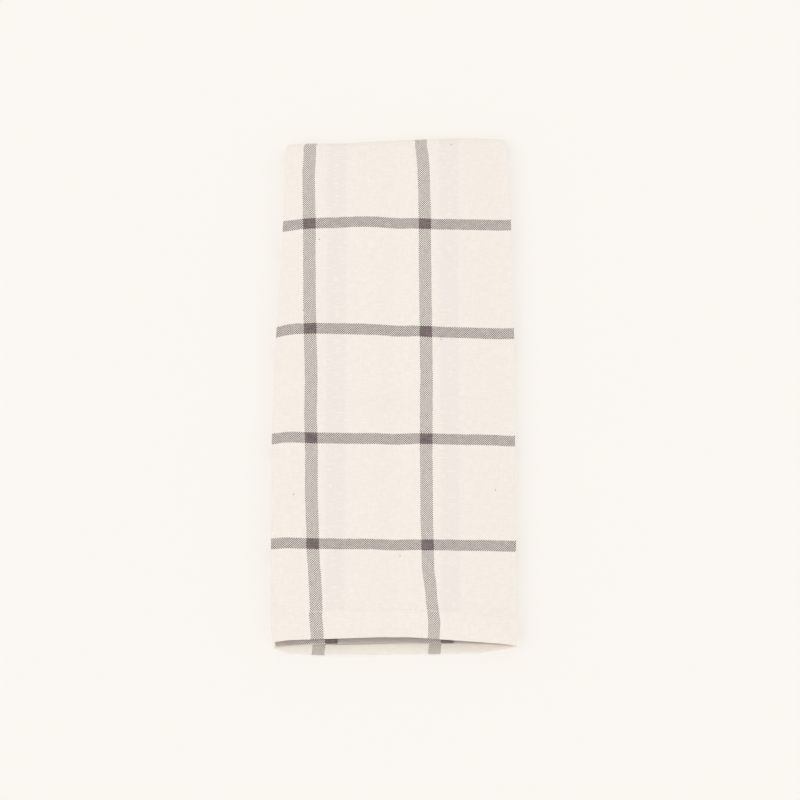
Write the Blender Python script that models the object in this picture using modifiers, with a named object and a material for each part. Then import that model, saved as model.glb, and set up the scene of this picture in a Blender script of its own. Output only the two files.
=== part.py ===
"""A cotton tea towel with a windowpane check, folded for the shelf.

The towel is one flat piece of cloth with a hem at each end. It is folded twice: first in thirds across its
width, back and forth like a letter Z, and then in half over a fold at the top. That makes six layers, which
lie a little apart. From the top down they are

    front, middle, back      one half of the towel, its near hem at the -Y end
    back, middle, front      the other half, round the top fold, its far hem just past the near hem

Every point of the flat cloth has a place across it, from the front third's free edge, and along it, from the
near hem. fold() sends that point to its place in the folded towel. Sizes are in millimetres until
fold() gives metres. +X is to the right, +Y is towards the top fold, and the towel lies on z = 0.
"""

import math

import bmesh
import bpy
import numpy as np

MM = 0.001

# The flat cloth.
CLOTH_WIDTH = 500.0
CLOTH_LENGTH = 760.0
CLOTH_THICKNESS = 1.0
HEM_DEPTH = 19.0
HEM_THICKNESS = 1.2

# The folded stack: the spacing of its layers, how far one may stray, the share of that in a stiff hem and the
# length over which it grows past the hem, and how the folds and corners are drawn in.
LAYER_PITCH = 2.6
WAVER = 0.16
HEM_WAVER = 0.4
FREE_LENGTH = 40.0
SIDE_FOLD_RADIUS = 1.15
BACK_FOLD_INSET = 2.2
BACK_EDGE_INSET = 2.6
CORNER_RADIUS = 6.0

# Height of each half's thirds above the axis of the top fold, and of the stack's middle surfaces in all.
BACK_HEIGHT = LAYER_PITCH / 2
MIDDLE_HEIGHT = BACK_HEIGHT + LAYER_PITCH
FRONT_HEIGHT = MIDDLE_HEIGHT + LAYER_PITCH
STACK_HEIGHT = 2 * FRONT_HEIGHT

# Each half of the cloth runs from the hems up to the axis of the top fold, and half of the fold's round on.
FOLD_AXIS_LEVEL = 183.0
HALF_LENGTH = (CLOTH_LENGTH - math.pi * FRONT_HEIGHT) / 2
HEM_LEVEL = FOLD_AXIS_LEVEL - HALF_LENGTH


def table(columns, rows):
    """Rows of numbers as a table whose columns are read by name."""
    return dict(zip(columns.split(), np.array(rows).T))


# The two sides of the folded towel, a row for each place up from the hems. The left side is skewed.
SIDES = table("y left right", [
    [-187.0, -82.4, 83.8],
    [-176.0, -83.9, 85.0],
    [-162.0, -84.5, 83.4],
    [-115.0, -85.0, 83.8],
    [-38.0, -85.2, 83.9],
    [23.0, -83.8, 84.0],
    [51.0, -82.5, 83.8],
    [92.0, -80.2, 83.0],
    [123.0, -79.2, 82.6],
    [172.0, -77.8, 80.9],
    [191.0, -77.4, 79.4],
])

# The top fold's outer line, which rises to the right.
TOP_FOLD = table("x y", [
    [-75.0, 187.6],
    [-39.0, 187.6],
    [0.0, 190.0],
    [40.0, 191.6],
    [75.0, 191.6],
])

# The two hems, a row for each place across the cloth: where the near hem and the far hem end up.
HEMS = table("across near_y far_y", [
    [0.0, -186.8, -185.0],      # free edge of the front third, at the right
    [12.0, -185.8, -187.1],
    [26.0, -184.4, -189.2],
    [49.0, -182.9, -190.0],
    [73.0, -181.7, -190.4],
    [95.0, -181.2, -190.8],
    [131.0, -182.2, -191.0],
    [155.0, -183.5, -190.0],
    [161.0, -183.9, -188.6],
    [169.0, -184.1, -185.6],    # fold between front and middle, at the left
    [250.0, -180.7, -183.6],
    [337.0, -184.4, -185.2],    # fold between middle and back, at the right
    [350.0, -183.8, -184.6],
    [371.0, -182.8, -183.7],
    [386.0, -182.0, -184.3],
    [430.0, -180.5, -184.1],
    [476.0, -181.6, -185.4],
    [500.0, -182.6, -187.0],    # free edge of the back third, at the left
])

# Where the stack is pressed thinner: how far in from each side, and the share of its height left there.
# The hems, at the near end, lie flattest.
PRESSED_SIDES = {
    # side: (reach, share)
    "left": (15.0, 0.72),
    "right": (38.0, 0.66),
    "top": (16.0, 0.84),
    "near": (34.0, 0.64),
}
NEAR_END = -187.0    # y from which the near side's reach counts

# Soft troughs pressed into the stack, each along a straight line.
TROUGHS = table("x0 y0 x1 y1 half_width depth", [
    [0.0, -170.0, 1.0, 178.0, 15.0, 1.7],    # along the middle
    [-84.0, -7.0, 84.0, -5.0, 13.0, 1.1],    # across the middle
    [0.0, -6.0, 0.0, -6.0, 26.0, 1.3],       # where the two meet
    [-36.0, 60.0, -40.0, 180.0, 13.0, 0.6],
    [34.0, 40.0, 32.0, 170.0, 12.0, 0.5],
    [-34.0, -150.0, -30.0, -60.0, 16.0, 0.6],
    [58.0, -160.0, 52.0, -90.0, 20.0, 0.5],
])

# How many faces the cloth has, how they crowd towards the folds, and the stations by a hem, in hem depths.
PANEL_SHARES = (0.0, 0.03, 0.08, 0.15, 0.25, 0.36, 0.48, 0.54, 0.64, 0.75, 0.85, 0.92, 0.97, 1.0)
SIDE_FOLD_STEPS = 4
TOP_FOLD_STEPS = 8
HALF_STEPS = 12
HEM_STATIONS = (0.0, 1.0, 1.2, 1.9)

CREAM = (0.88, 0.83, 0.76, 1.0)


def read(rows, column, place):
    """One column of a table at a place along its first column, straight between the rows."""
    first = next(iter(rows))
    return float(np.interp(place, rows[first], rows[column]))


def ease(share):
    """A soft step from 0 to 1."""
    share = min(max(share, 0.0), 1.0)
    return share * share * (3 - 2 * share)


def trough_depth(x, y):
    """How deep the soft troughs are at a place on the folded towel."""
    depth = 0.0
    for x0, y0, x1, y1, half_width, deepest in zip(*TROUGHS.values()):
        run = np.array([x1 - x0, y1 - y0])
        out = np.array([x - x0, y - y0])
        share = min(max(float(run @ out) / max(float(run @ run), 1e-9), 0.0), 1.0)
        distance = float(np.linalg.norm(out - share * run))
        depth += deepest * ease(1 - distance / half_width)
    return depth


def squeeze(x, y):
    """The share of its full height that the stack keeps at a place."""
    inward = {
        "left": x - read(SIDES, "left", y),
        "right": read(SIDES, "right", y) - x,
        "top": read(TOP_FOLD, "y", x) - y,
        "near": y - NEAR_END,
    }
    kept = 1.0
    for side, (reach, share) in PRESSED_SIDES.items():
        kept = min(kept, share + (1 - share) * ease(inward[side] / reach))
    return kept * (1 - trough_depth(x, y) / STACK_HEIGHT)


def waver(x, y, level, from_hem):
    """How far a layer strays from its even place in the stack. The lowest one lies flat on the table."""
    loose = HEM_WAVER + (1 - HEM_WAVER) * ease((from_hem - HEM_DEPTH) / FREE_LENGTH)
    along = math.sin(y / 21.0 + 0.8 * level) + 0.6 * math.sin(y / 9.0 + 1.7 * level + 1.0)
    return WAVER * loose * ease(level / LAYER_PITCH) * along * math.cos(x / 31.0 + 0.5 * level)


def across_stations():
    """Stations across the cloth: the third or fold each is in, and the share of the way along it."""
    fold_shares = [step / SIDE_FOLD_STEPS for step in range(1, SIDE_FOLD_STEPS)]
    stations = []
    for panel, fold_name in (("front", "left fold"), ("middle", "right fold"), ("back", None)):
        stations += [(panel, share) for share in PANEL_SHARES]
        stations += [(fold_name, share) for share in fold_shares if fold_name]
    return stations


def section(station, y):
    """Across the folded towel at a height y: x, the height in the stack, and the place across the cloth."""
    part, share = station
    left, right = read(SIDES, "left", y), read(SIDES, "right", y)
    left_centre = left + CLOTH_THICKNESS / 2 + SIDE_FOLD_RADIUS
    right_centre = right - BACK_FOLD_INSET - CLOTH_THICKNESS / 2 - SIDE_FOLD_RADIUS
    back_edge = left + BACK_EDGE_INSET
    turn = math.pi * share
    arc = math.pi * SIDE_FOLD_RADIUS
    front_width = right - left_centre
    middle_width = right_centre - left_centre
    back_width = right_centre - back_edge
    gather = (CLOTH_WIDTH - front_width) / (2 * arc + middle_width + back_width)
    if part == "front":
        return right - share * front_width, FRONT_HEIGHT, share * front_width
    if part == "left fold":
        x = left_centre - SIDE_FOLD_RADIUS * math.sin(turn)
        height = (FRONT_HEIGHT + MIDDLE_HEIGHT + LAYER_PITCH * math.cos(turn)) / 2
        return x, height, front_width + gather * share * arc
    if part == "middle":
        across = front_width + gather * (arc + share * middle_width)
        return left_centre + share * middle_width, MIDDLE_HEIGHT, across
    if part == "right fold":
        x = right_centre + SIDE_FOLD_RADIUS * math.sin(turn)
        height = (MIDDLE_HEIGHT + BACK_HEIGHT + LAYER_PITCH * math.cos(turn)) / 2
        return x, height, front_width + gather * (arc + middle_width + share * arc)
    across = front_width + gather * (2 * arc + middle_width + share * back_width)
    return right_centre - share * back_width, BACK_HEIGHT, across


def along_stations():
    """Stations along the cloth: the half or fold each is in, and the share of the way from hem to fold."""
    shares = [hems * HEM_DEPTH / HALF_LENGTH for hems in HEM_STATIONS]
    shares += list(np.linspace(shares[-1], 1.0, HALF_STEPS + 1))[1:]
    stations = [("near half", share) for share in shares]
    stations += [("top fold", step / TOP_FOLD_STEPS) for step in range(1, TOP_FOLD_STEPS)]
    stations += [("far half", share) for share in reversed(shares)]
    return stations


def in_hem(station):
    """Whether a station along the cloth lies in a hem."""
    part, share = station
    return part != "top fold" and share * HALF_LENGTH < HEM_DEPTH + 0.01


def fold(across_station, along_station):
    """Where a point of the flat cloth lies once the towel is folded, in metres."""
    part, share = along_station
    near = part == "near half"
    from_hem = HALF_LENGTH * (1.0 if part == "top fold" else share)
    x, height, across = section(across_station, HEM_LEVEL + from_hem)
    axis = read(TOP_FOLD, "y", x) - FRONT_HEIGHT - CLOTH_THICKNESS / 2
    if part == "top fold":
        turn = math.pi * share
        y = axis + height * math.sin(turn)
        height *= math.cos(turn)
    else:
        hem = read(HEMS, "near_y" if near else "far_y", across)
        y = hem + share * (axis - hem)
        height *= 1 if near else -1
    thickness = HEM_THICKNESS if in_hem(along_station) else CLOTH_THICKNESS
    level = height + FRONT_HEIGHT
    z = thickness / 2 + (level + waver(x, y, level, from_hem)) * squeeze(x, y)
    past_corner = y - (read(TOP_FOLD, "y", x) - CORNER_RADIUS)
    if past_corner > 0:
        half_width = (read(SIDES, "right", y) - read(SIDES, "left", y)) / 2
        drawn_in = CORNER_RADIUS - math.sqrt(max(CORNER_RADIUS ** 2 - past_corner ** 2, 0.0))
        x -= math.copysign(drawn_in * abs(x / half_width) ** 3, x)
    return x * MM, y * MM, z * MM


def folded_cloth():
    """The cloth as one thin surface: a flat grid whose points are all sent to their folded places."""
    across = across_stations()
    along = along_stations()
    cloth = bmesh.new()
    bmesh.ops.create_grid(cloth, x_segments=len(across) - 1, y_segments=len(along) - 1, size=0.5)
    mesh = bpy.data.meshes.new("tea_towel")
    hem_points = []
    cloth.verts.ensure_lookup_table()
    for point in cloth.verts:
        column = round((point.co.x + 0.5) * (len(across) - 1))
        row = round((point.co.y + 0.5) * (len(along) - 1))
        point.co = fold(across[column], along[row])
        if in_hem(along[row]):
            hem_points.append(point.index)
    cloth.to_mesh(mesh)
    cloth.free()
    return mesh, hem_points


def thicken(towel, hem_points):
    """Give the surface its thickness, more in the hems, where the cloth is turned under."""
    group = towel.vertex_groups.new(name="hems")
    group.add(hem_points, 1.0, "REPLACE")
    solid = towel.modifiers.new("Thickness", "SOLIDIFY")
    solid.thickness = HEM_THICKNESS * MM
    solid.offset = 0.0
    solid.vertex_group = group.name
    solid.thickness_vertex_group = CLOTH_THICKNESS / HEM_THICKNESS


def stand_on_origin(towel):
    """Move the mesh so that the middle of the towel's underside is at the origin."""
    seen = towel.evaluated_get(bpy.context.evaluated_depsgraph_get())
    corners = np.array([corner[:] for corner in seen.bound_box])
    low, high = corners.min(axis=0), corners.max(axis=0)
    for point in towel.data.vertices:
        point.co.x -= (low[0] + high[0]) / 2
        point.co.y -= (low[1] + high[1]) / 2


def woven_cotton():
    """Plain woven cotton, soft and without gloss."""
    material = bpy.data.materials.new("woven_cotton")
    material.use_nodes = True
    surface = material.node_tree.nodes["Principled BSDF"]
    surface.inputs["Base Color"].default_value = CREAM
    surface.inputs["Roughness"].default_value = 0.9
    surface.inputs["Metallic"].default_value = 0.0
    return material


def main():
    for old in list(bpy.data.objects):
        bpy.data.objects.remove(old)
    collection = bpy.data.collections.new("tea_towel")
    bpy.context.scene.collection.children.link(collection)
    mesh, hem_points = folded_cloth()
    towel = bpy.data.objects.new("tea_towel", mesh)
    collection.objects.link(towel)
    mesh.materials.append(woven_cotton())
    mesh.shade_smooth()
    thicken(towel, hem_points)
    stand_on_origin(towel)


main()
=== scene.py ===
# %% [markdown]
# # A folded tea towel
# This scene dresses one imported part: a cotton tea towel with a windowpane check, folded in thirds across
# its width, like a letter Z, and then in half over a fold at its top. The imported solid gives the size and
# the folds. Here it gets a thinner, finer sheet on the same folds, with its turned hems and their sewing,
# and its woven threads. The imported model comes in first, because every piece is placed in its frame.

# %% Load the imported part
import math

import bmesh
import bpy
import numpy as np
from mathutils import Matrix, Vector


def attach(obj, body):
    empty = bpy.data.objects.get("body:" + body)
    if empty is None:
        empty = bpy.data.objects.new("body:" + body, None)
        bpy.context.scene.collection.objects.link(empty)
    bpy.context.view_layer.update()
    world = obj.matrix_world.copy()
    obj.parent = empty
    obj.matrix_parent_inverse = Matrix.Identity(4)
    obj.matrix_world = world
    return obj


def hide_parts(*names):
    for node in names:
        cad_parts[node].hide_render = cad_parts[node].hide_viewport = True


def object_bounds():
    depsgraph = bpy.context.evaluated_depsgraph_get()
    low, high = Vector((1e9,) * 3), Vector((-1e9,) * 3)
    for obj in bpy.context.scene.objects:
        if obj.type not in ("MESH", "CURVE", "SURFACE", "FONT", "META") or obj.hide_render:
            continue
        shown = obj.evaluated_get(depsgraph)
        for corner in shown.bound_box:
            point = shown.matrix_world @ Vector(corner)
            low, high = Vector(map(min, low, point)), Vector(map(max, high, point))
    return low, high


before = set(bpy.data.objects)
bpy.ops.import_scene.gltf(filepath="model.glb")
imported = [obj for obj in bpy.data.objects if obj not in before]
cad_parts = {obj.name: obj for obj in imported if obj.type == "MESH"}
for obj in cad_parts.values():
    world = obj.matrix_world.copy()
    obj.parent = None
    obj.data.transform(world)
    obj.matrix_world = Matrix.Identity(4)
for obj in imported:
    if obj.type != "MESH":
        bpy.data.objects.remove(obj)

cad_low, cad_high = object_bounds()
cad_size = cad_high - cad_low
print("packed part, mm:", [round(side * 1000, 1) for side in cad_size])

# %% [markdown]
# ## Colours
# A hex colour is what a screen shows (sRGB), while a shader counts light (linear). One function turns the
# first into the second, so each colour below can be compared with a picture.
# The view transform is set to Standard, so that a colour comes out on the screen as it was given.

# %% Colours
bpy.context.scene.view_settings.view_transform = "Standard"


def linear(hex_colour):
    """Turn an sRGB hex colour into linear red, green, blue and alpha."""
    channels = [int(hex_colour[start:start + 2], 16) / 255 for start in (1, 3, 5)]
    light = [c / 12.92 if c <= 0.04045 else ((c + 0.055) / 1.055) ** 2.4 for c in channels]
    return (*light, 1.0)


print("middle grey in linear light:", round(linear("#808080")[0], 3))

# %% [markdown]
# ## Camera
# The towel is seen from above, tilted 20 degrees from straight down, so its near end shows a little.
# A long lens from far off keeps its sides nearly parallel, as a product picture has them. The camera is put
# on a line through the point that it looks at, so distance and tilt stay two plain numbers.

# %% Camera
CAMERA_ELEVATION = math.radians(70)
CAMERA_DISTANCE = 2.8
LENS_MM = 180
SENSOR_MM = 36
LOOKED_AT = (0.00385, -0.0052, 0.0)

camera_data = bpy.data.cameras.new("camera")
camera_data.lens = LENS_MM
camera_data.sensor_width = SENSOR_MM
camera = bpy.data.objects.new("camera", camera_data)
camera.location = (
    LOOKED_AT[0],
    LOOKED_AT[1] - CAMERA_DISTANCE * math.cos(CAMERA_ELEVATION),
    LOOKED_AT[2] + CAMERA_DISTANCE * math.sin(CAMERA_ELEVATION),
)
camera.rotation_euler = (math.pi / 2 - CAMERA_ELEVATION, 0.0, 0.0)
bpy.context.scene.collection.objects.link(camera)
bpy.context.scene.camera = camera
print("camera at", [round(place, 3) for place in camera.location])

# %% [markdown]
# ## Materials from nodes
# Every finish here is a small graph of nodes that ends in a Principled BSDF. One function adds a node, sets
# its options, and fills its inputs with plain values or with links from other nodes' outputs. A Mix node
# has sockets for every kind of data, so the ones used here get names.

# %% One function for every node
FLOAT_A, FLOAT_B, COLOUR_A, COLOUR_B, COLOUR_RESULT = 2, 3, 6, 7, 2


def add_node(tree, kind, settings=None, inputs=None):
    """Add a node of a kind to a tree. An input's value is a plain value or another node's output."""
    node = tree.nodes.new(kind)
    for name, value in (settings or {}).items():
        setattr(node, name, value)
    for name, value in (inputs or {}).items():
        if isinstance(value, bpy.types.NodeSocket):
            tree.links.new(value, node.inputs[name])
        else:
            node.inputs[name].default_value = value
    return node


def new_material(name):
    """A new material with nodes, and its tree and Principled BSDF."""
    material = bpy.data.materials.new(name)
    material.use_nodes = True
    return material, material.node_tree, material.node_tree.nodes["Principled BSDF"]


print("nodes can be added")

# %% [markdown]
# ## Floor and light
# The towel lies on a plain pale light table, a sheet of white acrylic that is partly lit from below, as
# product pictures without shadows are taken. So the floor's colour is part paint and part glow, and only the
# paint's part can be shaded. The rest of the light is a bright, even surround with one large soft lamp from
# the near left, enough to shade the shallow troughs in the cloth and the ends of its layers.

# %% Floor
FLOOR_WIDTH = 30.0
FLOOR_DROP = 0.0003
GLOW_STRENGTH = 0.62

floor_mesh = bpy.data.meshes.new("floor")
floor_shape = bmesh.new()
bmesh.ops.create_grid(floor_shape, x_segments=1, y_segments=1, size=FLOOR_WIDTH / 2)
bmesh.ops.translate(floor_shape, verts=floor_shape.verts, vec=(0.0, 0.0, -FLOOR_DROP))
floor_shape.to_mesh(floor_mesh)
floor_shape.free()
floor = bpy.data.objects.new("floor", floor_mesh)
bpy.context.scene.collection.objects.link(floor)

white_acrylic, _, acrylic_surface = new_material("white_acrylic")
acrylic_surface.inputs["Base Color"].default_value = linear("#a09d9a")
acrylic_surface.inputs["Emission Color"].default_value = linear("#faf6f1")
acrylic_surface.inputs["Emission Strength"].default_value = GLOW_STRENGTH
acrylic_surface.inputs["Roughness"].default_value = 0.95
acrylic_surface.inputs["Specular IOR Level"].default_value = 0.1
floor_mesh.materials.append(white_acrylic)
print("floor", FLOOR_WIDTH, "m wide")

# %% Light
SURROUND_STRENGTH = 0.97
LAMP_STRENGTH = 0.32
LAMP_SOFTNESS = math.radians(50)
LAMP_TILT = (math.radians(22), math.radians(-20), 0.0)

world = bpy.data.worlds.new("surround")
world.use_nodes = True
surround = world.node_tree.nodes["Background"]
surround.inputs["Color"].default_value = linear("#fffefd")
surround.inputs["Strength"].default_value = SURROUND_STRENGTH
bpy.context.scene.world = world

lamp_data = bpy.data.lights.new("lamp", "SUN")
lamp_data.energy = LAMP_STRENGTH
lamp_data.angle = LAMP_SOFTNESS
lamp = bpy.data.objects.new("lamp", lamp_data)
lamp.rotation_euler = LAMP_TILT
bpy.context.scene.collection.objects.link(lamp)
print("surround", SURROUND_STRENGTH, "and lamp", LAMP_STRENGTH)

# %% [markdown]
# ## The flat cloth and its folds
# A folded towel is still one flat sheet. So each point of the sheet is given a place *across* the cloth,
# from the free edge of its front third, and a distance *from its hem*, and a fold is a rule that sends the
# point to its place in the stack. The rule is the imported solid's own. A few of its sizes are set more finely
# here, such as the hem lines, and the two agree within 2 millimetres. All sizes are in millimetres. The solid
# is a millimetre thick to be sturdy, while kitchen cotton is nearer to 0.6.
# A cloth simulation could fold a sheet too, but six pressed layers so close together would need a very fine
# mesh, and it wouldn't put the edges and the check where they are wanted.

# %% Sizes of the cloth, in millimetres
MM = 0.001
CLOTH_WIDTH = 500.0
CLOTH_LENGTH = 760.0
CLOTH_THICKNESS = 0.6
HEM_DEPTH = 19.0

LAYER_PITCH = 2.6
SIDE_FOLD_RADIUS = 1.0
BACK_FOLD_INSET = 2.2
BACK_EDGE_INSET = 1.2
CORNER_RADIUS = 6.0
BACK_HEIGHT = LAYER_PITCH / 2
MIDDLE_HEIGHT = BACK_HEIGHT + LAYER_PITCH
FRONT_HEIGHT = MIDDLE_HEIGHT + LAYER_PITCH
STACK_HEIGHT = 2 * FRONT_HEIGHT
FOLD_ARC = math.pi * FRONT_HEIGHT
FOLD_AXIS_LEVEL = 183.0
HALF_LENGTH = (CLOTH_LENGTH - FOLD_ARC) / 2
HEM_LEVEL = FOLD_AXIS_LEVEL - HALF_LENGTH
print("each half runs", round(HALF_LENGTH, 1), "mm from its hem to the top fold")

# %% [markdown]
# ### Tables of the folded outline
# What is uneven on the real towel is kept in short tables, a row for each place, and read by a column's
# name. Between two rows the value runs straight, which suits pressed cloth.

# %% Tables
def table(columns, rows):
    """Rows of numbers as a table whose columns are read by name."""
    return dict(zip(columns.split(), np.array(rows).T))


def read(rows, column, place):
    """One column of a table at places along its first column, straight between the rows."""
    first = next(iter(rows))
    return np.interp(place, rows[first], rows[column])


SIDES = table("y left right", [
    [-187.0, -82.4, 83.8],
    [-176.0, -83.9, 85.0],
    [-162.0, -84.5, 83.4],
    [-115.0, -85.0, 83.8],
    [-38.0, -85.2, 83.9],
    [23.0, -83.8, 84.0],
    [51.0, -82.5, 83.8],
    [92.0, -80.2, 83.0],
    [123.0, -79.2, 82.6],
    [172.0, -77.8, 80.9],
    [191.0, -77.4, 79.4],
])

TOP_FOLD = table("x y", [
    [-75.0, 187.6],
    [-39.0, 187.6],
    [0.0, 190.0],
    [40.0, 191.6],
    [75.0, 191.6],
])

HEMS = table("across near_y far_y", [
    [0.0, -186.6, -185.2],
    [12.0, -185.1, -187.4],
    [26.0, -184.0, -189.6],
    [49.0, -182.4, -190.1],
    [73.0, -180.7, -190.4],
    [95.0, -180.7, -190.8],
    [131.0, -181.9, -191.0],
    [155.0, -182.7, -190.0],
    [161.0, -183.1, -188.6],
    [169.0, -183.5, -185.2],
    [177.0, -182.2, -185.0],
    [195.0, -181.2, -183.8],
    [245.0, -179.4, -182.6],
    [266.0, -179.5, -182.7],
    [303.0, -182.0, -182.8],
    [323.0, -183.6, -183.7],
    [337.0, -184.4, -185.2],
    [350.0, -182.6, -184.4],
    [371.0, -181.2, -183.5],
    [386.0, -180.1, -183.6],
    [430.0, -178.5, -183.4],
    [476.0, -180.0, -184.2],
    [500.0, -181.2, -185.9],
])
for name, outline in (("sides", SIDES), ("top fold", TOP_FOLD), ("hems", HEMS)):
    print("outline rows of the", name, len(next(iter(outline.values()))))

# %% [markdown]
# ### What presses the stack
# The stack is thinner along its sides, its top fold and its hems, and shallow troughs are pressed into it.
# Each trough runs along a straight line with a soft cross-section. They are listed one by one, because they
# are what makes this cloth look handled instead of moulded.

# %% Troughs and ridges
PRESSED_SIDES = {
    # side: (reach, share)
    "left": (15.0, 0.72),
    "right": (38.0, 0.66),
    "top": (16.0, 0.84),
    "near": (34.0, 0.64),
}
NEAR_END = -187.0

TROUGHS = table("x0 y0 x1 y1 half_width depth", [
    [0.0, -170.0, 1.0, 178.0, 15.0, 1.7],      # along the middle
    [-84.0, -7.0, 84.0, -5.0, 13.0, 1.1],      # across the middle
    [0.0, -6.0, 0.0, -6.0, 26.0, 1.3],         # where the two meet
    [-36.0, 60.0, -40.0, 180.0, 13.0, 0.6],    # loose swells in the four quarters
    [34.0, 40.0, 32.0, 170.0, 12.0, 0.5],
    [-34.0, -150.0, -30.0, -60.0, 16.0, 0.6],
    [58.0, -160.0, 52.0, -90.0, 20.0, 0.5],
    [-13.0, 161.0, -11.0, 174.0, 6.0, 0.6],    # two dents below the top fold
    [11.0, 160.0, 11.0, 174.0, 5.0, 0.6],
])


def ease(share):
    """A soft step from 0 to 1."""
    share = np.clip(share, 0.0, 1.0)
    return share * share * (3 - 2 * share)


def trough_depth(x, y):
    """How deep the troughs are at places on the folded towel."""
    depth = np.zeros_like(x)
    for x0, y0, x1, y1, half_width, deepest in zip(*TROUGHS.values()):
        run_x, run_y = x1 - x0, y1 - y0
        run = max(run_x ** 2 + run_y ** 2, 1e-9)
        share = np.clip(((x - x0) * run_x + (y - y0) * run_y) / run, 0.0, 1.0)
        distance = np.hypot(x - x0 - share * run_x, y - y0 - share * run_y)
        depth += deepest * ease(1 - distance / half_width)
    return depth


def squeeze(x, y):
    """The share of its full height that the stack keeps at places."""
    inward = {
        "left": x - read(SIDES, "left", y),
        "right": read(SIDES, "right", y) - x,
        "top": read(TOP_FOLD, "y", x) - y,
        "near": y - NEAR_END,
    }
    kept = np.ones_like(x)
    for side, (reach, share) in PRESSED_SIDES.items():
        kept = np.minimum(kept, share + (1 - share) * ease(inward[side] / reach))
    return kept * (1 - trough_depth(x, y) / STACK_HEIGHT)


print("deepest trough, mm:", round(float(trough_depth(np.array([0.0]), np.array([-6.0]))[0]), 2))

# %% [markdown]
# ### Across the stack
# Seen from its end, each half of the towel is one line that runs back and forth: front third, a round fold
# at the left, middle third, a round fold at the right, back third. A column of points keeps the part of that
# line it is in and the share of the way along it. Columns crowd at the folds, where the cloth bends most.
# Each column also knows which way the cloth's right side faces there: up on the front third of the near
# half, out on the left fold, down on the middle third, and so on.

# %% Columns of points across the cloth
PANEL_COLUMNS = {"front": 70, "middle": 40, "back": 40}
SIDE_FOLD_COLUMNS = 9
EVEN_SHARE = 0.45


def crowded(count):
    """Shares from 0 to 1 that lie closer together near both ends."""
    even = np.linspace(0.0, 1.0, count)
    return EVEN_SHARE * even + (1 - EVEN_SHARE) * (1 - np.cos(math.pi * even)) / 2


columns = []
for panel, fold_after in (("front", "left fold"), ("middle", "right fold"), ("back", None)):
    columns += [(panel, share) for share in crowded(PANEL_COLUMNS[panel])]
    if fold_after:
        columns += [(fold_after, share) for share in np.linspace(0, 1, SIDE_FOLD_COLUMNS + 2)[1:-1]]
column_part = np.array([part for part, share in columns])
column_share = np.array([share for part, share in columns])

FACING = {"front": (0, 1), "left fold": (-1, 1), "middle": (0, -1), "right fold": (-1, -1), "back": (0, 1)}
facing_x = np.array([FACING[part][0] * math.sin(math.pi * share) for part, share in columns])
facing_z = np.array([
    FACING[part][1] * (math.cos(math.pi * share) if "fold" in part else 1.0) for part, share in columns
])
print(len(columns), "columns of points across the cloth")

# %% The line across the stack
def cross_section(y):
    """Across the folded towel at one y: x, height and place across the cloth, for every column."""
    left, right = read(SIDES, "left", y), read(SIDES, "right", y)
    left_centre = left + CLOTH_THICKNESS / 2 + SIDE_FOLD_RADIUS
    right_centre = right - BACK_FOLD_INSET - CLOTH_THICKNESS / 2 - SIDE_FOLD_RADIUS
    back_edge = left + BACK_EDGE_INSET
    arc = math.pi * SIDE_FOLD_RADIUS
    front_width = right - left_centre
    middle_width = right_centre - left_centre
    back_width = right_centre - back_edge
    gather = (CLOTH_WIDTH - front_width) / (2 * arc + middle_width + back_width)
    share = column_share
    turn = math.pi * share
    half_pitch = LAYER_PITCH / 2 * np.cos(turn)
    rules = {
        "front": (right - share * front_width, FRONT_HEIGHT, share * front_width),
        "left fold": (
            left_centre - SIDE_FOLD_RADIUS * np.sin(turn),
            (FRONT_HEIGHT + MIDDLE_HEIGHT) / 2 + half_pitch,
            front_width + gather * share * arc,
        ),
        "middle": (
            left_centre + share * middle_width,
            MIDDLE_HEIGHT,
            front_width + gather * (arc + share * middle_width),
        ),
        "right fold": (
            right_centre + SIDE_FOLD_RADIUS * np.sin(turn),
            (MIDDLE_HEIGHT + BACK_HEIGHT) / 2 + half_pitch,
            front_width + gather * (arc + middle_width + share * arc),
        ),
        "back": (
            right_centre - share * back_width,
            BACK_HEIGHT,
            front_width + gather * (2 * arc + middle_width + share * back_width),
        ),
    }
    line = np.zeros((3, len(columns)))
    for part, values in rules.items():
        here = column_part == part
        for row, value in enumerate(values):
            line[row, here] = np.broadcast_to(value, len(columns))[here]
    return line


middle_line = cross_section(0.0)
print("across the cloth, mm:", round(middle_line[2].min(), 1), "to", round(middle_line[2].max(), 1))

# %% [markdown]
# ### Rows along the cloth, and its turned hems
# A hem is the cloth's own end, turned over onto its wrong side and sewn down. So the rows start at the turned
# end of the near hem, go round its narrow bend, up the near half, over the top fold, down the far half, and
# round the far hem in the same way. Two plies need room: in a hem the outer ply moves half a bend's width
# towards the right side, and the turned ply as far to the wrong side. The hem's second, inner turn is
# hidden, and it is left out.

# %% Rows of points along the cloth
TURNING_ROWS, BEND_ROWS, HEM_ROWS, NEAR_ROWS, TOP_FOLD_ROWS, FAR_ROWS = 8, 4, 17, 110, 14, 60
HEM_BEND_RADIUS = 0.35
HEM_SLOPE = 4.5
SLOPE_START = 0.5

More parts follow.
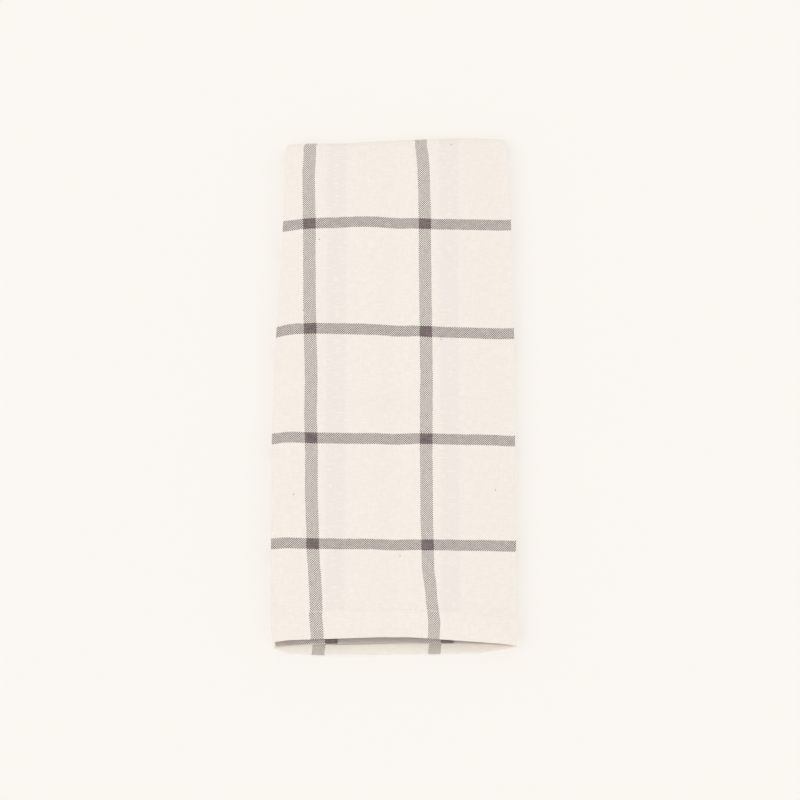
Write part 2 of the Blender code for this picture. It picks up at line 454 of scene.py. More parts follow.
hem_places = np.linspace(0.0, HEM_DEPTH + HEM_SLOPE, HEM_ROWS)
turned_places = np.linspace(0.0, HEM_DEPTH, TURNING_ROWS)
bend_shares = np.linspace(0.0, 1.0, BEND_ROWS + 2)[1:-1]
rows = [("near turning", place) for place in turned_places[::-1]]
rows += [("near bend", share) for share in bend_shares]
rows += [("near half", place) for place in hem_places]
rows += [("near half", place) for place in np.linspace(hem_places[-1], HALF_LENGTH, NEAR_ROWS + 1)[1:]]
rows += [("top fold", share) for share in np.linspace(0.0, 1.0, TOP_FOLD_ROWS + 2)[1:-1]]
rows += [("far half", place) for place in np.linspace(HALF_LENGTH, hem_places[-1], FAR_ROWS + 1)[:-1]]
rows += [("far half", place) for place in hem_places[::-1]]
rows += [("far bend", share) for share in bend_shares[::-1]]
rows += [("far turning", place) for place in turned_places]
print(len(rows), "rows of points along the cloth")

# %% [markdown]
# Each layer also wavers a little from its even place, so the open edges don't look ruled. The layer on the
# table stays flat, and the hems, stiffer with their two plies, waver less.

# %% Lay one row in the stack
WAVER = 0.28
HEM_WAVER = 0.2
FREE_LENGTH = 40.0
WAVES_ALONG = [
    # length for each radian, share, turn for each mm of level, start
    (21.0, 1.0, 0.8, 0.0),
    (9.0, 0.6, 1.7, 1.0),
]
WAVE_ACROSS = {"length": 31.0, "turn": 0.5}


def waver(x, y, level, from_hem):
    """How far a layer strays from its even place in the stack."""
    loose = HEM_WAVER + (1 - HEM_WAVER) * ease((from_hem - HEM_DEPTH) / FREE_LENGTH)
    along = sum(
        share * np.sin(y / length + turn * level + start) for length, share, turn, start in WAVES_ALONG
    )
    across = np.cos(x / WAVE_ACROSS["length"] + WAVE_ACROSS["turn"] * level)
    return WAVER * loose * ease(level / LAYER_PITCH) * along * across


def distance_from_hem(part, place):
    """How far a row lies from its hem, in millimetres."""
    if "fold" in part:
        return HALF_LENGTH
    return 0.0 if "bend" in part else place


def lay_row(part, place):
    """Lay one row of the cloth in the stack: x, y, z, place across, and y at the hem and the top fold."""
    from_hem = distance_from_hem(part, place)
    half, kind = part.split()
    x, height, across = cross_section(HEM_LEVEL + from_hem)
    fold_y = read(TOP_FOLD, "y", x) - FRONT_HEIGHT - CLOTH_THICKNESS / 2
    hem_column = "near_y" if half == "near" else "far_y"
    hem_y = read(HEMS, hem_column, across) + HEM_BEND_RADIUS + CLOTH_THICKNESS / 2
    two_plies = ease((HEM_DEPTH + HEM_SLOPE - from_hem) / (HEM_SLOPE - SLOPE_START))
    towards_right_side = HEM_BEND_RADIUS * two_plies
    upright = -1.0 if half == "far" else 1.0
    y = hem_y + from_hem / HALF_LENGTH * (fold_y - hem_y)
    if kind == "fold":
        upright = math.cos(math.pi * place)
        y = fold_y + height * math.sin(math.pi * place)
    elif kind == "bend":
        towards_right_side = -HEM_BEND_RADIUS * math.cos(math.pi * place)
        y = hem_y - HEM_BEND_RADIUS * math.sin(math.pi * place)
    elif kind == "turning":
        towards_right_side = -HEM_BEND_RADIUS
    level = FRONT_HEIGHT + upright * height
    z = CLOTH_THICKNESS / 2 + HEM_BEND_RADIUS * two_plies
    z = z + (level + waver(x, y, level, from_hem)) * squeeze(x, y) + upright * facing_z * towards_right_side
    past_corner = np.clip(y - (read(TOP_FOLD, "y", x) - CORNER_RADIUS), 0.0, CORNER_RADIUS)
    half_width = (read(SIDES, "right", y) - read(SIDES, "left", y)) / 2
    drawn_in = CORNER_RADIUS - np.sqrt(CORNER_RADIUS ** 2 - past_corner ** 2)
    x = x + facing_x * towards_right_side - np.sign(x) * drawn_in * np.abs(x / half_width) ** 3
    return {"x": x, "y": y, "z": z, "across": across, "hem_y": hem_y, "fold_y": fold_y}


laid = [lay_row(part, place) for part, place in rows]
print("highest point of the cloth's middle, mm:", round(max(row["z"].max() for row in laid), 1))

# %% [markdown]
# ### Where the check lands
# So the pattern gets its own coordinates. They are the flat ones, moved a little by tables: the warp
# stripes' drift at heights up the towel, the y of each weft stripe's middle at places across it, and,
# because the far hem was cut a little off the weave's line, how far short of the tenth weft stripe it is
# turned. That stripe lies on the hem's turned ply, right at its bend where the lean is nothing.

CHECK_PITCH = 79.5
FIRST_WARP_STRIPE = 62.6
FIRST_WEFT_STRIPE = 67.5
STRIPE_WIDTH = {"warp": 8.75, "weft": 7.95}
FAR_HEM_STRIPE = FIRST_WEFT_STRIPE + 9 * CHECK_PITCH - STRIPE_WIDTH["weft"] / 2

WARP_DRIFT = table("y right_stripe left_stripe", [
    [-184.5, 6.0, 5.3],
    [-181.0, 5.6, 4.5],
    [-177.0, 5.3, 3.5],
    [-172.0, 5.0, 3.4],
    [-166.0, 5.2, 4.7],
    [-160.8, 4.9, 4.9],
    [-153.0, 4.2, 4.5],
    [-146.5, 3.4, 4.0],
    [-139.4, 2.1, 3.6],
    [-125.0, 1.7, 2.3],
    [-103.3, 1.0, 1.7],
    [-81.5, 0.9, 0.7],
    [-52.3, 0.6, 0.6],
    [-22.9, 0.7, -0.4],
    [6.8, 0.9, -0.2],
    [29.2, 0.6, -0.9],
    [59.2, 0.6, -1.4],
    [81.9, 0.9, -1.2],
    [104.7, 1.1, -1.1],
    [143.0, 1.8, -0.8],
    [166.1, 2.0, -0.3],
    [181.6, 1.3, 1.5],
])

WEFT_STRIPES = table("x first second third fourth", [
    [-85.0, -113.9, -37.4, 41.3, 121.0],
    [-77.5, -114.0, -37.1, 42.8, 122.4],
    [-69.0, -114.6, -37.4, 43.2, 122.4],
    [-56.0, -115.0, -38.0, 43.7, 123.2],
    [-26.0, -115.0, -38.6, 43.0, 124.7],
    [-5.0, -115.4, -38.5, 42.3, 124.2],
    [20.0, -115.8, -38.5, 41.3, 123.0],
    [50.0, -116.1, -39.3, 40.1, 122.3],
    [66.0, -115.5, -38.6, 40.4, 122.9],
    [84.0, -115.4, -38.8, 41.2, 123.7],
])

FAR_HEM_WEAVE = table("across drift lean", [
    [0.0, 5.9, 8.9],
    [167.0, 5.9, 7.4],
    [337.0, 1.2, 0.5],
    [380.0, -0.3, 0.5],
    [460.0, -1.1, 0.5],
    [500.0, -1.1, 0.5],
])
print("the far hem is turned at", round(FAR_HEM_STRIPE, 1), "mm of the weave's own measure")

# %% The weave's own place for every point
def near_weave(row, y):
    """How far along the weave the points of a row in the near half lie, read between its weft stripes."""
    stripes = [read(WEFT_STRIPES, name, row["x"]) for name in list(WEFT_STRIPES)[1:]]
    woven = [FIRST_WEFT_STRIPE + CHECK_PITCH * count for count in range(len(stripes))]
    past_last = row["fold_y"] - stripes[-1]
    known_y = np.array([row["hem_y"], *stripes, row["fold_y"]])
    known = np.array([0 * y, *[mark + 0 * y for mark in woven], woven[-1] + past_last])
    return np.array([np.interp(y[i], known_y[:, i], known[:, i]) for i in range(len(y))])


def weave_row(part, place, row):
    """The weave's own coordinates for one row: across its warp threads and along them."""
    half, kind = part.split()
    from_hem = distance_from_hem(part, place)
    across = row["across"]
    stripes_across = [0.0, FIRST_WARP_STRIPE, FIRST_WARP_STRIPE + CHECK_PITCH, CLOTH_WIDTH]
    drifts = [read(WARP_DRIFT, name, HEM_LEVEL + from_hem) for name in ("right_stripe", "left_stripe")]
    drift = np.interp(across, stripes_across, [0.0, *drifts, 0.0])
    bend_length = math.pi * HEM_BEND_RADIUS
    past_hem = {"bend": bend_length * (1 - place), "turning": bend_length + place}.get(kind, 0.0)
    if half == "near":
        along = near_weave(row, row["y"]) if kind == "half" else -past_hem + 0 * across
    else:
        along = near_weave(row, row["fold_y"]) + FOLD_ARC * (place if kind == "fold" else 1.0)
    if half == "far":
        share = 0.0 if kind == "turning" else from_hem / HALF_LENGTH
        hem_along = FAR_HEM_STRIPE - read(FAR_HEM_WEAVE, "lean", across)
        along = share * along + (1 - share) * hem_along + past_hem
        drift = share * drift + (1 - share) * read(FAR_HEM_WEAVE, "drift", across)
    return across + drift, along


woven = [weave_row(part, place, row) for (part, place), row in zip(rows, laid)]
woven_along = np.array([along for across, along in woven])
print("weave along, mm:", round(woven_along.min()), "to", round(woven_along.max()))

# %% [markdown]
# ### The sheet
# The cloth starts as a flat grid with one point for each row and column, and every point is moved to its
# folded place. Its UV map keeps the weave's own coordinates, so the threads follow the cloth round every
# fold. The map is scaled by one length, so that it fits the unit square. An attribute keeps each point's
# distance from its hem, for what the sewing does to the cloth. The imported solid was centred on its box, so
# the points are moved in the same way.

# %% Build the sheet
UV_SPAN = 840.0
UV_START = -25.0

points = np.array([[row["x"], row["y"], row["z"]] for row in laid])
cad_middle = (cad_low + cad_high) / 2
shift = np.array([cad_middle[k] / MM - (points[:, k].min() + points[:, k].max()) / 2 for k in range(2)])
points[:, :2] += shift[None, :, None]

towel_shape = bmesh.new()
bmesh.ops.create_grid(towel_shape, x_segments=len(columns) - 1, y_segments=len(rows) - 1, size=0.5)
weave_uv = towel_shape.loops.layers.uv.new("weave")
hem_layer = towel_shape.verts.layers.float.new("from_hem")
place_of = {}
for point in towel_shape.verts:
    column = round((point.co.x + 0.5) * (len(columns) - 1))
    row = round((point.co.y + 0.5) * (len(rows) - 1))
    place_of[point] = (row, column)
    point[hem_layer] = distance_from_hem(*rows[row])
for face in towel_shape.faces:
    for corner in face.loops:
        row, column = place_of[corner.vert]
        corner[weave_uv].uv = [(measure[column] - UV_START) / UV_SPAN for measure in woven[row]]
for point, (row, column) in place_of.items():
    point.co = points[row, :, column] * MM

towel_mesh = bpy.data.meshes.new("woven_towel")
towel_shape.to_mesh(towel_mesh)
towel_shape.free()
towel_mesh.shade_smooth()
towel = bpy.data.objects.new("woven_towel", towel_mesh)
bpy.context.scene.collection.objects.link(towel)
print(len(towel_mesh.polygons), "faces in the sheet, moved by", shift.round(2), "mm")

# %% [markdown]
# ### Thickness
# Solidify gives the sheet its thickness on both sides of the middle surface, and a fine Bevel rounds the open
# edges, because a woven edge is never square.

# %% Give the sheet its thickness
EDGE_ROUND = 0.22
SHARP_EDGE = math.radians(60)

thickness = towel.modifiers.new("Thickness", "SOLIDIFY")
thickness.thickness = CLOTH_THICKNESS * MM
thickness.offset = 0.0

edges = towel.modifiers.new("Round edges", "BEVEL")
edges.width = EDGE_ROUND * MM
edges.segments = 2
edges.limit_method = "ANGLE"
edges.angle_limit = SHARP_EDGE
print("the sheet is", CLOTH_THICKNESS, "mm thick")

# %% [markdown]
# ## Woven cotton
# The cloth is plain-woven cotton: each thread goes over one and under the next. Real kitchen cotton often
# has finer threads than these, 12 or 13 to a centimetre, which are drawn coarse enough to show. Cream threads
# make the ground. Eleven grey threads side by side make a stripe along the cloth (warp), and ten make one
# across it (weft). Where a stripe crosses cream threads it is half grey, and where two stripes cross it is
# wholly grey. So the stripes aren't painted: the graph colours threads and then asks which thread is on top,
# and the toothed edges and the speckle come by themselves. Threads are never quite straight, so a slow noise
# moves the pattern by a part of a thread before they are counted.

# %% Threads
THREAD_PITCH = 0.795
THREAD_WANDER = 0.5
WANDER_LENGTH = 7.0

cotton, tree, surface = new_material("plain_woven_cotton")
uv = add_node(tree, "ShaderNodeUVMap", {"uv_map": "weave"})
flat = add_node(
    tree,
    "ShaderNodeVectorMath",
    {"operation": "MULTIPLY_ADD"},
    {0: uv.outputs["UV"], 1: (UV_SPAN, UV_SPAN, 0.0), 2: (UV_START, UV_START, 0.0)},
)
wander = add_node(
    tree,
    "ShaderNodeTexNoise",
    {"noise_dimensions": "2D"},
    {"Vector": flat.outputs[0], "Scale": 1 / WANDER_LENGTH, "Detail": 1.0},
)
wander_centred = add_node(
    tree, "ShaderNodeVectorMath", {"operation": "SUBTRACT"}, {0: wander.outputs["Color"], 1: (0.5, 0.5, 0.5)}
)
wandered = add_node(
    tree,
    "ShaderNodeVectorMath",
    {"operation": "MULTIPLY_ADD"},
    {0: wander_centred.outputs[0], 1: (THREAD_WANDER, THREAD_WANDER, 0.0), 2: flat.outputs[0]},
)
place = add_node(tree, "ShaderNodeSeparateXYZ", None, {0: wandered.outputs[0]})
print("threads every", THREAD_PITCH, "mm")

# %% Count the threads both ways
threads = {}
for direction, axis_name, first in (("warp", "X", FIRST_WARP_STRIPE), ("weft", "Y", FIRST_WEFT_STRIPE)):
    count = add_node(
        tree, "ShaderNodeMath", {"operation": "DIVIDE"}, {0: place.outputs[axis_name], 1: THREAD_PITCH}
    )
    number = add_node(tree, "ShaderNodeMath", {"operation": "FLOOR"}, {0: count.outputs[0]})
    inside = add_node(tree, "ShaderNodeMath", {"operation": "FRACT"}, {0: count.outputs[0]})
    off_middle = add_node(tree, "ShaderNodeMath", {"operation": "SUBTRACT"}, {0: inside.outputs[0], 1: 0.5})
    off_axis = add_node(tree, "ShaderNodeMath", {"operation": "ABSOLUTE"}, {0: off_middle.outputs[0]})
    middle = add_node(
        tree,
        "ShaderNodeMath",
        {"operation": "MULTIPLY_ADD"},
        {0: number.outputs[0], 1: THREAD_PITCH, 2: THREAD_PITCH / 2 - first},
    )
    repeat = add_node(
        tree,
        "ShaderNodeMath",
        {"operation": "WRAP"},
        {0: middle.outputs[0], 1: CHECK_PITCH / 2, 2: -CHECK_PITCH / 2},
    )
    off_stripe = add_node(tree, "ShaderNodeMath", {"operation": "ABSOLUTE"}, {0: repeat.outputs[0]})
    grey = add_node(
        tree,
        "ShaderNodeMath",
        {"operation": "LESS_THAN"},
        {0: off_stripe.outputs[0], 1: STRIPE_WIDTH[direction] / 2},
    )
    threads[direction] = {
        "number": number.outputs[0],
        "off_axis": off_axis.outputs[0],
        "grey": grey.outputs[0],
    }
print("threads:", ", ".join(threads))

# %% [markdown]
# ### Which thread is on top
# In plain weave the squares alternate like a chessboard. A warp thread's float is a little shorter than its
# square, and shorter still under the thicker grey weft, so the weft stripes come out darker than the warp
# stripes, as they do on the cloth.

# %% Over and under
WARP_FLOAT = 0.48
WARP_FLOAT_UNDER_GREY = 0.40

both = add_node(
    tree,
    "ShaderNodeMath",
    {"operation": "ADD"},
    {0: threads["warp"]["number"], 1: threads["weft"]["number"]},
)
weft_square = add_node(
    tree, "ShaderNodeMath", {"operation": "FLOORED_MODULO"}, {0: both.outputs[0], 1: 2.0}
)
warp_square = add_node(
    tree, "ShaderNodeMath", {"operation": "LESS_THAN"}, {0: weft_square.outputs[0], 1: 0.5}
)
float_end = add_node(
    tree,
    "ShaderNodeMath",
    {"operation": "MULTIPLY_ADD"},
    {0: threads["weft"]["grey"], 1: WARP_FLOAT_UNDER_GREY - WARP_FLOAT, 2: WARP_FLOAT},
)
on_float = add_node(
    tree,
    "ShaderNodeMath",
    {"operation": "LESS_THAN"},
    {0: threads["weft"]["off_axis"], 1: float_end.outputs[0]},
)
warp_on_top = add_node(
    tree, "ShaderNodeMath", {"operation": "MULTIPLY"}, {0: warp_square.outputs[0], 1: on_float.outputs[0]}
)
top_thread = {}
for fact in ("grey", "off_axis"):
    chosen = add_node(
        tree,
        "ShaderNodeMix",
        {"data_type": "FLOAT"},
        {"Factor": warp_on_top.outputs[0], FLOAT_A: threads["weft"][fact], FLOAT_B: threads["warp"][fact]},
    )
    top_thread[fact] = chosen.outputs[0]
print("known of the top thread:", ", ".join(top_thread))

# %% [markdown]
# ### Yarn
# Yarn is never even. Each thread gets its own stretched noise: its coordinate across the threads is the
# thread's number, so it doesn't blend into its neighbour, and along the thread it changes slowly. The noise
# makes the yarn lighter and darker, the dyed yarn more than the cream, and where a weft thread is thickest,
# it makes a slub.

# %% Thick and thin yarn
YARN_PATCH = 6.0
NEXT_THREAD = 0.71
FIRST_OF_WEFT = 500.0
TONE_RANGE = (0.3, 0.7)
SLUB_RANGE = (0.60, 0.68)

yarn = {}
for direction, axis_name, start in (("warp", "Y", 0.0), ("weft", "X", FIRST_OF_WEFT)):
    along_thread = add_node(
        tree, "ShaderNodeMath", {"operation": "DIVIDE"}, {0: place.outputs[axis_name], 1: YARN_PATCH}
    )
    own_row = add_node(
        tree,
        "ShaderNodeMath",
        {"operation": "MULTIPLY_ADD"},
        {0: threads[direction]["number"], 1: NEXT_THREAD, 2: start},
    )
    own_place = add_node(
        tree, "ShaderNodeCombineXYZ", None, {"X": along_thread.outputs[0], "Y": own_row.outputs[0]}
    )
    noise = add_node(
        tree,
        "ShaderNodeTexNoise",
        {"noise_dimensions": "2D"},
        {"Vector": own_place.outputs[0], "Scale": 1.0, "Detail": 2.0},
    )
    yarn[direction] = noise.outputs["Fac"]
top_yarn = add_node(
    tree,
    "ShaderNodeMix",
    {"data_type": "FLOAT"},
    {"Factor": warp_on_top.outputs[0], FLOAT_A: yarn["weft"], FLOAT_B: yarn["warp"]},
)
yarn_tone = add_node(
    tree,
    "ShaderNodeMapRange",
    None,
    {"Value": top_yarn.outputs[0], "From Min": TONE_RANGE[0], "From Max": TONE_RANGE[1]},
)
slub = add_node(
    tree,
    "ShaderNodeMapRange",
    None,
    {"Value": yarn["weft"], "From Min": SLUB_RANGE[0], "From Max": SLUB_RANGE[1]},
)
print("yarn changes every", YARN_PATCH, "mm")

# %% [markdown]
# ### What shows through
# One thickness of this cloth isn't quite opaque. The stripes of the middle and back thirds lie beside those
# of the front third, and show through it as a band that is only a little darker. That band is painted shade
# in this layer's colour, since the cloth is rendered opaque. It stops at the hem, whose second ply hides it,
# and the slubs interrupt it. The band belongs to the layers below and not to this one, so it is placed by
# Object coordinates.

# %% A faint band beside each warp stripe
SHOWN_STRIPE_X = -41.0
SHOWN_HALF_WIDTH = 4.6
SHOWN_FADE = 8.4
FRONT_THIRD = 166.0

in_frame = add_node(tree, "ShaderNodeTexCoord")
object_place = add_node(tree, "ShaderNodeSeparateXYZ", None, {0: in_frame.outputs["Object"]})
from_stripe = add_node(
    tree,
    "ShaderNodeMath",
    {"operation": "MULTIPLY_ADD"},
    {0: object_place.outputs["X"], 1: 1 / MM, 2: -SHOWN_STRIPE_X},
)
from_any_stripe = add_node(
    tree,
    "ShaderNodeMath",
    {"operation": "WRAP"},
    {0: from_stripe.outputs[0], 1: CHECK_PITCH / 2, 2: -CHECK_PITCH / 2},
)
off_shown = add_node(tree, "ShaderNodeMath", {"operation": "ABSOLUTE"}, {0: from_any_stripe.outputs[0]})
band = add_node(
    tree,
    "ShaderNodeMapRange",
    {"interpolation_type": "SMOOTHSTEP"},
    {
        "Value": off_shown.outputs[0],
        "From Min": SHOWN_HALF_WIDTH,
        "From Max": SHOWN_FADE,
        "To Min": 1.0,
        "To Max": 0.0,
    },
)
hem_distance = add_node(tree, "ShaderNodeAttribute", {"attribute_name": "from_hem"})
one_ply = add_node(
    tree, "ShaderNodeMath", {"operation": "GREATER_THAN"}, {0: hem_distance.outputs["Fac"], 1: HEM_DEPTH}
)
on_front = add_node(
    tree, "ShaderNodeMath", {"operation": "LESS_THAN"}, {0: place.outputs["X"], 1: FRONT_THIRD}
)
bare = add_node(tree, "ShaderNodeMath", {"operation": "SUBTRACT"}, {0: 1.0, 1: slub.outputs["Result"]})
shown = band.outputs["Result"]
for limit in (one_ply, on_front, bare):
    shown = add_node(
        tree, "ShaderNodeMath", {"operation": "MULTIPLY"}, {0: shown, 1: limit.outputs[0]}
    ).outputs[0]
print("bands", 2 * SHOWN_HALF_WIDTH, "mm wide")

# %% [markdown]
# ### Colour
# The cream is undyed cotton, and the grey is a brown-grey dye that doesn't take evenly. Shade is painted
# into the colour where threads dive between their neighbours, so they are a little darker there, as the gaps
# between threads hold shade. A few brown specks of seed husk are left in the cream.

# %% Colour of the threads
CREAM_THREAD = ("#f3ebe2", "#f8f2e9")
GREY_THREAD = ("#62565a", "#8d7f7a")
SHOWN_CREAM = "#f1eae3"
HUSK = "#b9a58c"
HUSK_SPACING = 95.0
HUSK_SIZE = 0.45
GAP_SHADE = 0.90
GAP_SHADE_START = 0.3
THREAD_EDGE = 0.5

thread_tones = {}
for dye, (dark, pale) in (("cream", CREAM_THREAD), ("grey", GREY_THREAD)):
    tone = add_node(
        tree,
        "ShaderNodeMix",
        {"data_type": "RGBA"},
        {"Factor": yarn_tone.outputs["Result"], COLOUR_A: linear(dark), COLOUR_B: linear(pale)},
    )
    thread_tones[dye] = tone.outputs[COLOUR_RESULT]
# Painted shade: the cream is darkened to SHOWN_CREAM inside the show-through band.
shaded_cream = add_node(
    tree,
    "ShaderNodeMix",
    {"data_type": "RGBA"},
    {"Factor": shown, COLOUR_A: thread_tones["cream"], COLOUR_B: linear(SHOWN_CREAM)},
)
husk_place = add_node(
    tree,
    "ShaderNodeTexVoronoi",
    {"voronoi_dimensions": "2D"},
    {"Vector": flat.outputs[0], "Scale": 1 / HUSK_SPACING},
)
husk_here = add_node(
    tree,
    "ShaderNodeMath",
    {"operation": "LESS_THAN"},
    {0: husk_place.outputs["Distance"], 1: HUSK_SIZE / HUSK_SPACING},
)
specked_cream = add_node(
    tree,
    "ShaderNodeMix",
    {"data_type": "RGBA"},
    {"Factor": husk_here.outputs[0], COLOUR_A: shaded_cream.outputs[COLOUR_RESULT], COLOUR_B: linear(HUSK)},
)
thread_colour = add_node(
    tree,
    "ShaderNodeMix",
    {"data_type": "RGBA"},
    {
        "Factor": top_thread["grey"],
        COLOUR_A: specked_cream.outputs[COLOUR_RESULT],
        COLOUR_B: thread_tones["grey"],
    },
)
# Painted shade: the colour is darkened towards the edge of the top thread, where it dives into the shaded gap.
painted_gap_shade = add_node(
    tree,
    "ShaderNodeMapRange",
    {"interpolation_type": "SMOOTHSTEP"},
    {
        "Value": top_thread["off_axis"],
        "From Min": GAP_SHADE_START,
        "From Max": THREAD_EDGE,
        "To Min": 1.0,
        "To Max": GAP_SHADE,
    },
)
cloth_colour = add_node(
    tree,
    "ShaderNodeVectorMath",
    {"operation": "SCALE"},
    {0: thread_colour.outputs[COLOUR_RESULT], "Scale": painted_gap_shade.outputs["Result"]},
)
tree.links.new(cloth_colour.outputs[0], surface.inputs["Base Color"])
print("cream", CREAM_THREAD, "and grey", GREY_THREAD)

# %% [markdown]
# ### Relief and sheen
# Heights are summed in millimetres: each thread's round top, which is a parabola that falls to nothing at
# its edges, the thickness of its yarn, the dent that the stitches pull into the hem, and the small puckers on
# both sides of them. Cotton is matt, with a faint soft sheen from its loose fibres.

# %% Relief of the weave and of the sewn line
THREAD_RELIEF = 0.06
YARN_RELIEF = 0.05
STITCH_LINE = 18.2
STITCH_DENT = 0.10
STITCH_DENT_WIDTH = 1.1
PUCKER_RELIEF = 0.10
PUCKER_LENGTH = 6.5
PUCKER_REACH = 6.0

square = add_node(tree, "ShaderNodeMath", {"operation": "POWER"}, {0: top_thread["off_axis"], 1: 2.0})
thread_top = add_node(
    tree,
    "ShaderNodeMath",
    {"operation": "MULTIPLY_ADD"},
    {0: square.outputs[0], 1: -4 * THREAD_RELIEF, 2: THREAD_RELIEF},
)
woven_top = add_node(
    tree,
    "ShaderNodeMath",
    {"operation": "MULTIPLY_ADD"},
    {0: top_yarn.outputs[0], 1: YARN_RELIEF, 2: thread_top.outputs[0]},
)
from_line = add_node(
    tree, "ShaderNodeMath", {"operation": "SUBTRACT"}, {0: hem_distance.outputs["Fac"], 1: STITCH_LINE}
)
off_line = add_node(tree, "ShaderNodeMath", {"operation": "ABSOLUTE"}, {0: from_line.outputs[0]})
dent = add_node(
    tree,
    "ShaderNodeMapRange",
    {"interpolation_type": "SMOOTHSTEP"},
    {"Value": off_line.outputs[0], "From Max": STITCH_DENT_WIDTH, "To Min": -STITCH_DENT, "To Max": 0.0},
)
pucker_strength = add_node(
    tree,
    "ShaderNodeMapRange",
    {"interpolation_type": "SMOOTHSTEP"},
    {"Value": off_line.outputs[0], "From Max": PUCKER_REACH, "To Min": PUCKER_RELIEF, "To Max": 0.0},
)
pucker_turn = add_node(
    tree,
    "ShaderNodeMath",
    {"operation": "MULTIPLY_ADD"},
    {0: place.outputs["X"], 1: 2 * math.pi / PUCKER_LENGTH, 2: wander.outputs["Fac"]},
)
pucker_wave = add_node(tree, "ShaderNodeMath", {"operation": "SINE"}, {0: pucker_turn.outputs[0]})
pucker = add_node(
    tree,
    "ShaderNodeMath",
    {"operation": "MULTIPLY_ADD"},
    {0: pucker_wave.outputs[0], 1: pucker_strength.outputs["Result"], 2: dent.outputs["Result"]},
)
height_mm = add_node(
    tree, "ShaderNodeMath", {"operation": "ADD"}, {0: woven_top.outputs[0], 1: pucker.outputs[0]}
)
relief = add_node(
    tree, "ShaderNodeBump", None, {"Height": height_mm.outputs[0], "Distance": MM, "Strength": 1.0}
)
tree.links.new(relief.outputs["Normal"], surface.inputs["Normal"])
surface.inputs["Roughness"].default_value = 0.9
surface.inputs["Specular IOR Level"].default_value = 0.2
surface.inputs["Sheen Weight"].default_value = 0.08
surface.inputs["Sheen Roughness"].default_value = 0.5
towel_mesh.materials.append(cotton)
print(len(tree.nodes), "nodes in the cotton")

# %% [markdown]
# ## Hem stitches
# Each hem is held by one line of lockstitch, which looks the same from both sides: short straight stitches
# that sink at their ends. They are real little shapes: one squashed sphere is made, and turned copies of it
# are laid on the hem row that the sheet itself uses. Copies are joined because an operator called hundreds of
# times on a growing mesh is slow. At the side folds the line turns too sharply for a straight stitch, and
# none shows.

# %% Sew both hems
STITCH_PITCH = 2.8
STITCH_SIZE = (2.5, 0.5, 0.34)
STITCH_SINK = 0.06
STITCH_FACETS = 6
SHARPEST_TURN = 0.97


def stitch_line(part, outwards):
    """Points and outward directions along a hem's stitched line, an entry for each column."""
    row = lay_row(part, STITCH_LINE)
    upright = -1.0 if "far" in part else 1.0
    out = outwards * np.array([facing_x, 0 * facing_x, upright * facing_z])
    middle = np.array([row["x"] + shift[0], row["y"] + shift[1], row["z"]])
    return row["across"], middle + out * (CLOTH_THICKNESS / 2 - STITCH_SINK), out


stitch_shape = bmesh.new()
bmesh.ops.create_uvsphere(stitch_shape, u_segments=STITCH_FACETS, v_segments=STITCH_FACETS, radius=0.5)
bmesh.ops.scale(stitch_shape, verts=stitch_shape.verts, vec=[side * MM for side in STITCH_SIZE])
one_stitch = bpy.data.meshes.new("one_stitch")
stitch_shape.to_mesh(one_stitch)
stitch_shape.free()

sewing_shape = bmesh.new()
sewn = 0
for part, outwards in (("near half", 1), ("near turning", -1), ("far half", 1), ("far turning", -1)):
    line_across, line_points, line_out = stitch_line(part, outwards)
    for centre in np.arange(STITCH_PITCH, CLOTH_WIDTH - STITCH_PITCH, STITCH_PITCH):
        marks = centre + np.array([-0.5, 0.0, 0.5]) * STITCH_SIZE[0]
        start, middle, end = [
            Vector([np.interp(mark, line_across, line_points[k]) for k in range(3)]) for mark in marks
        ]
        if (middle - start).normalized().dot((end - middle).normalized()) < SHARPEST_TURN:
            continue
        run = (end - start).normalized()
        out = Vector([np.interp(centre, line_across, line_out[k]) for k in range(3)]).normalized()
        side = out.cross(run).normalized()
        turn = Matrix((run, side, run.cross(side))).transposed().to_4x4()
        this_stitch = one_stitch.copy()
        this_stitch.transform(Matrix.Translation(middle * MM) @ turn)
        sewing_shape.from_mesh(this_stitch)
        bpy.data.meshes.remove(this_stitch)
        sewn += 1
sewing_mesh = bpy.data.meshes.new("hem_stitches")
sewing_shape.to_mesh(sewing_mesh)
sewing_shape.free()
bpy.data.meshes.remove(one_stitch)
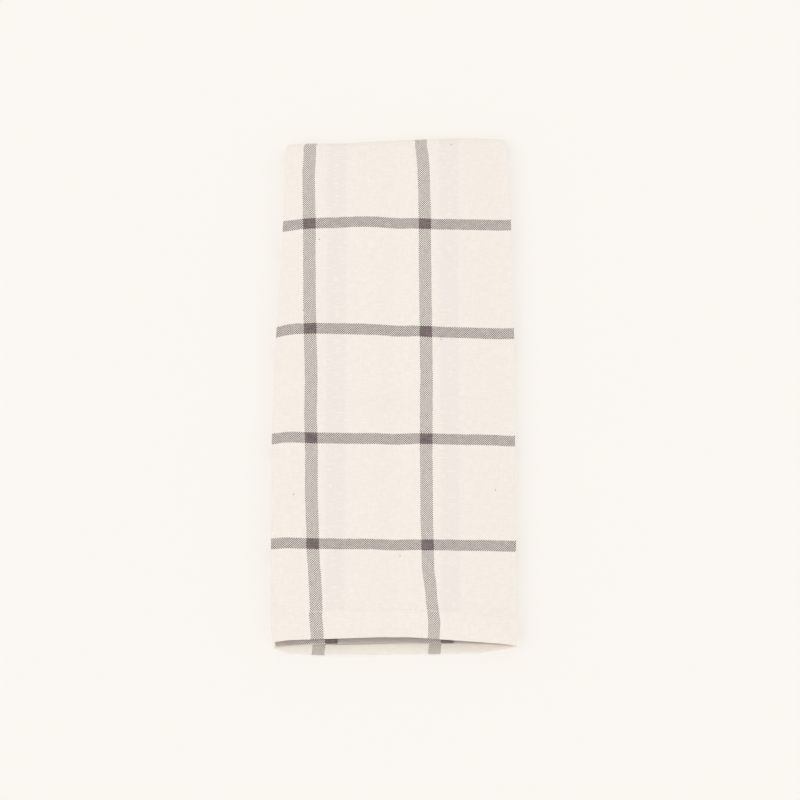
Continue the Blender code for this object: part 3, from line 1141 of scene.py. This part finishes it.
sewing_mesh.shade_smooth()
stitches = bpy.data.objects.new("hem_stitches", sewing_mesh)
bpy.context.scene.collection.objects.link(stitches)
print(sewn, "stitches,", len(sewing_mesh.polygons), "faces")

# %% [markdown]
# ### Sewing thread
# The thread is mercerised cotton, twisted, and a shade deeper than the cream. Mercerising makes it smoother
# and a little glossier than the cloth. Its twist is a fine ribbing, drawn coarser than real, at 0.4 mm, with
# painted shade in its grooves and a lighter colour on its ridges. A diagonal wave turns by 10 radians for each
# unit along an axis, which sets its scale.

# %% Twisted thread
SEWING_TONES = ("#e8dfd2", "#f6efe5")
TWIST_PITCH = 0.4
TWIST_RELIEF = 0.03
WAVE_TURN = 10.0

sewing_thread, thread_tree, thread_surface = new_material("twisted_cotton_thread")
thread_place = add_node(thread_tree, "ShaderNodeTexCoord")
twist = add_node(
    thread_tree,
    "ShaderNodeTexWave",
    {"wave_type": "BANDS", "bands_direction": "DIAGONAL"},
    {"Vector": thread_place.outputs["Object"], "Scale": 2 * math.pi / (WAVE_TURN * TWIST_PITCH * MM)},
)
# Painted shade: the darker tone lies in the twist's grooves and the paler one on its ridges, following the
# relief.
thread_shade = add_node(
    thread_tree,
    "ShaderNodeMix",
    {"data_type": "RGBA"},
    {"Factor": twist.outputs["Fac"], COLOUR_A: linear(SEWING_TONES[0]), COLOUR_B: linear(SEWING_TONES[1])},
)
thread_relief = add_node(
    thread_tree,
    "ShaderNodeBump",
    None,
    {"Height": twist.outputs["Fac"], "Distance": TWIST_RELIEF * MM, "Strength": 1.0},
)
thread_tree.links.new(thread_shade.outputs[COLOUR_RESULT], thread_surface.inputs["Base Color"])
thread_tree.links.new(thread_relief.outputs["Normal"], thread_surface.inputs["Normal"])
thread_surface.inputs["Roughness"].default_value = 0.6
sewing_mesh.materials.append(sewing_thread)
print("thread twisted every", TWIST_PITCH, "mm")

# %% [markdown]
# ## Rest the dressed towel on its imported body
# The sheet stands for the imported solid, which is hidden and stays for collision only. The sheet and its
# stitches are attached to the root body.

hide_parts("tea_towel")
for piece in (towel, stitches):
    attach(piece, "root")
